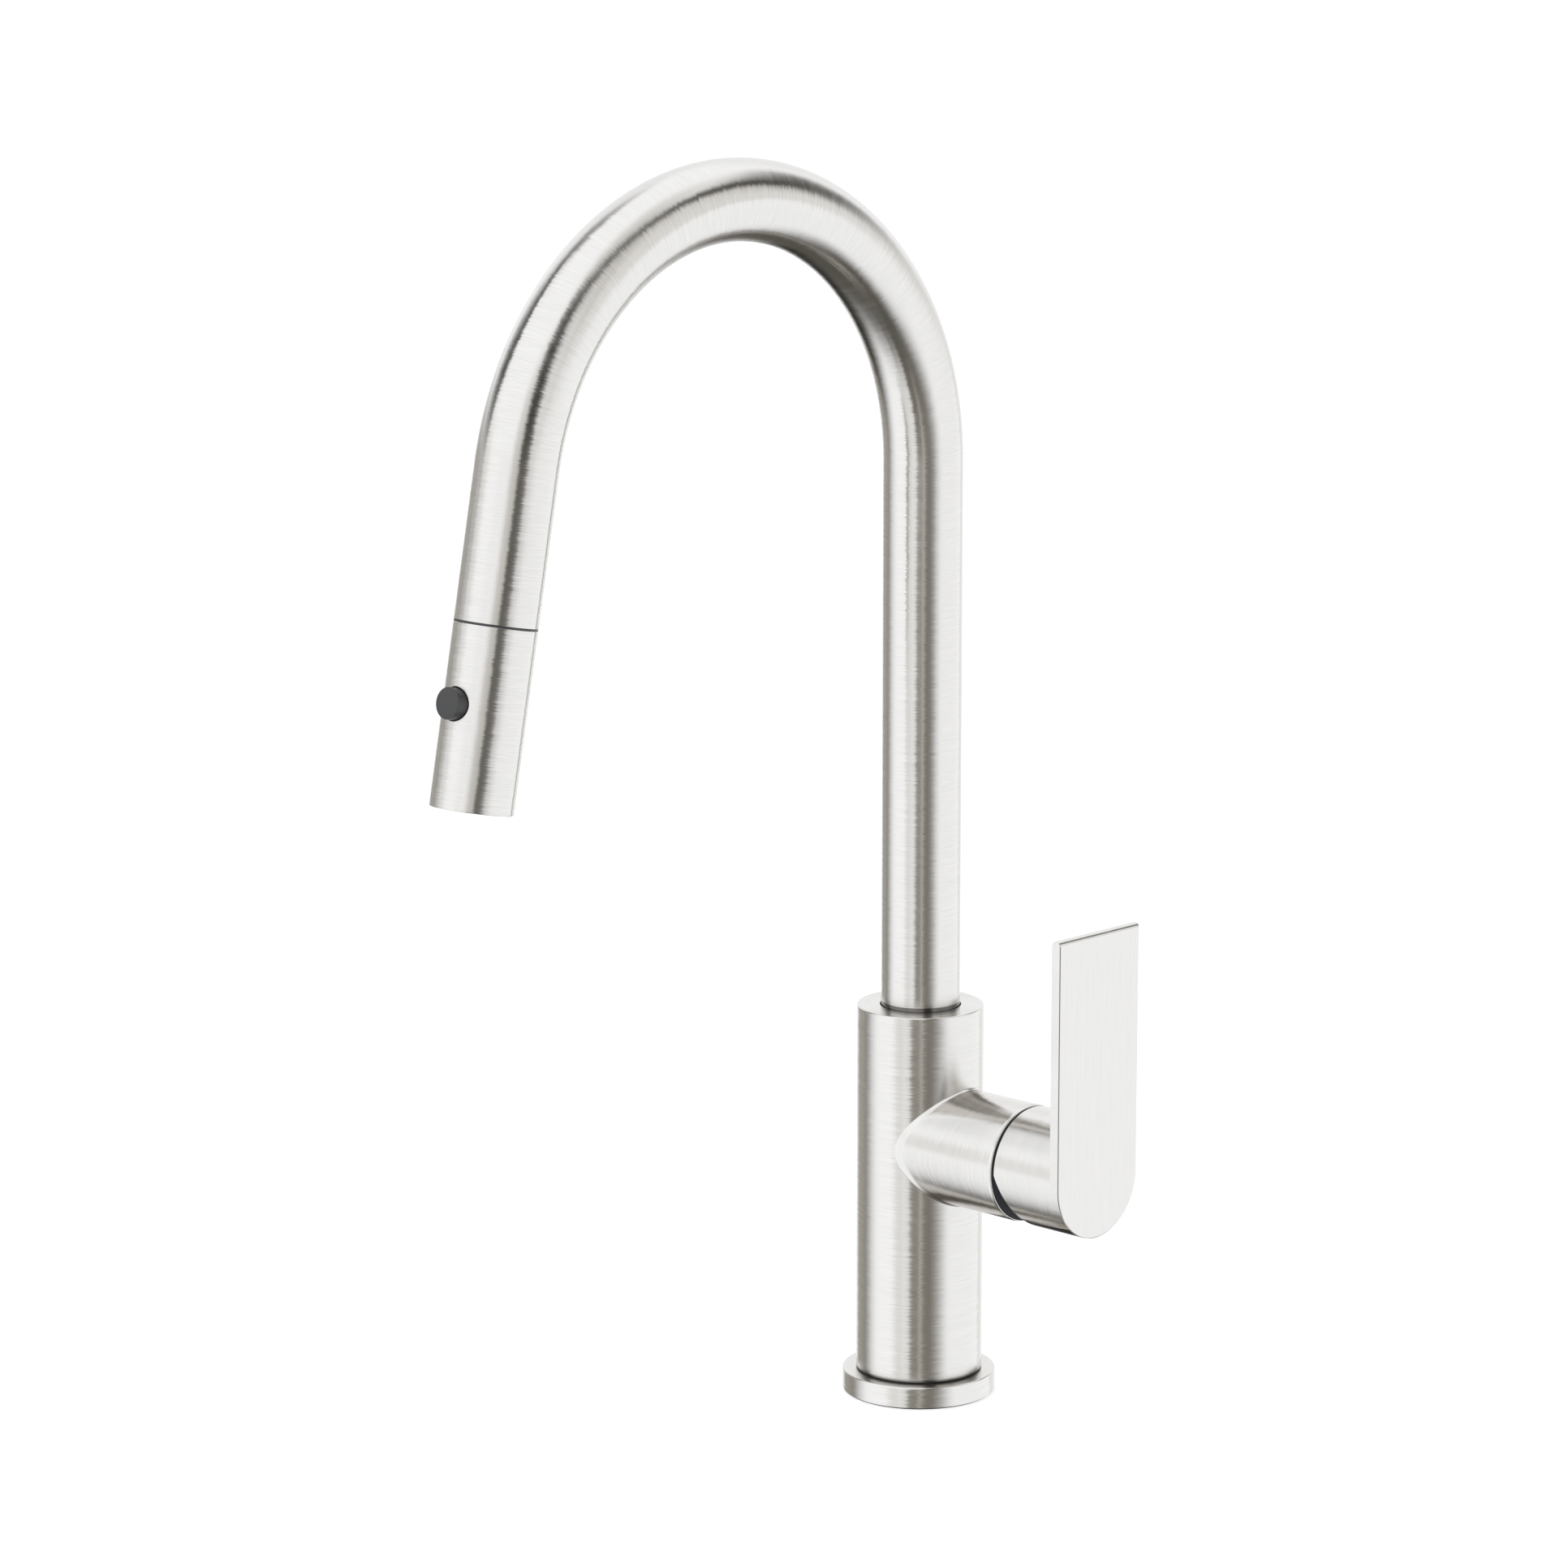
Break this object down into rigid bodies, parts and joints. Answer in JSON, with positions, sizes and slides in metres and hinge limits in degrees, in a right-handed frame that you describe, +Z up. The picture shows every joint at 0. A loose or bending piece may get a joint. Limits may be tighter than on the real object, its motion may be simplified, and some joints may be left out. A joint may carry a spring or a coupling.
{
  "type": "kitchen faucet",
  "caption": "High-arc kitchen faucet with a pull-down spray head, a side lever and brushed steel tubes on a round base.",
  "frame": {"origin": "centre of the underside of the deck gasket, on the deck's surface", "axes": "+Z up along the body's axis; the spout reaches towards -Y at rest; the lever's axis is +X"},
  "size_m": [0.1111, 0.2569, 0.5168],
  "materials": {
    "steel": "fine horizontal brushing, satin",
    "black_plastic": "matte",
    "white_plastic": "satin moulded",
    "black_rubber": "matte",
    "brass": "machined",
    "ceramic": "lapped",
    "hose_grey": "braided nylon sleeve",
    "spring_steel": "drawn wire"
  },
  "bodies": {
    "base": {"deck_gasket": "black_rubber", "base_flange": "steel", "body_seat_ring": "black_rubber", "body_shell": "steel", "threaded_shank": "brass", "deck_washer": "black_rubber", "clamp_washer": "spring_steel", "mounting_nut": "brass", "upper_glide_ring": "white_plastic", "lower_glide_ring": "white_plastic", "glide_circlip": "spring_steel", "valve_housing": "steel", "valve_manifold": "brass", "manifold_seals": "black_rubber", "manifold_screws": "spring_steel", "cartridge_body": "black_plastic", "cartridge_base": "white_plastic", "cartridge_seals": "black_rubber", "fixed_disc": "ceramic", "cartridge_nut": "brass", "cartridge_trim": "steel"},
    "valve_turn": {"stem_carrier": "white_plastic", "stem_pin": "spring_steel"},
    "ceramic_slide": {"moving_disc": "ceramic", "disc_holder": "black_plastic"},
    "lever": {"cartridge_stem": "brass", "lever_handle": "steel", "lever_grub_screw": "spring_steel", "grub_screw_plug": "black_plastic"},
    "spout": {"spout_tube": "steel", "spout_collar": "brass", "dock_bushing": "black_plastic", "dock_ring": "black_plastic", "spray_hose": "hose_grey", "hose_tail_nut": "brass"},
    "hose_end": {"hose_ferrule": "brass"},
    "spray_head": {"connector_nut": "brass", "connector_washer": "black_rubber", "head_shell": "steel", "head_core": "black_plastic", "head_seal": "black_rubber", "check_valve": "white_plastic", "nozzle_mat": "black_rubber", "spray_face": "black_plastic", "aerator": "white_plastic", "spool_guide": "white_plastic"},
    "button": {"spray_button": "black_plastic", "diverter_spool": "brass", "spool_seals": "black_rubber", "button_spring": "spring_steel"}
  },
  "joints": [
    {"name": "spout_swivel", "type": "hinge", "parent": "base", "child": "spout", "pos_m": [0, 0, 0.1352], "axis": [0, 0, 1], "continuous": true},
    {"name": "lever_turn", "type": "hinge", "parent": "base", "child": "valve_turn", "pos_m": [0.05, 0, 0.0934], "axis": [1, 0, 0], "range_deg": [-50, 50]},
    {"name": "lever_lift", "type": "hinge", "parent": "valve_turn", "child": "lever", "pos_m": [0.054, 0, 0.0934], "axis": [0, 1, 0], "range_deg": [0, 22.4]},
    {"name": "disc_slide", "type": "slide", "parent": "valve_turn", "child": "ceramic_slide", "axis": [0, 0, 1], "range_m": [0, 0.00535]},
    {"name": "head_pull", "type": "slide", "parent": "spout", "child": "hose_end", "axis": [0, -0.1934, -0.9811], "range_m": [0, 0.2], "stiffness_N_per_m": 12, "springref_m": -0.5, "deforming": ["spray_hose"]},
    {"name": "head_spin", "type": "hinge", "parent": "hose_end", "child": "spray_head", "pos_m": [0, -0.20189, 0.31651], "axis": [0, -0.1934, -0.9811], "continuous": true},
    {"name": "button_press", "type": "slide", "parent": "spray_head", "child": "button", "axis": [0, 0.9811, -0.1934], "range_m": [0, 0.0025], "stiffness_N_per_m": 400, "springref_m": -0.0025, "deforming": ["button_spring"]}
  ],
  "couplings": [
    {"joint": "disc_slide", "follows": "lever_lift", "m_per_rad": 0.013646}
  ]
}
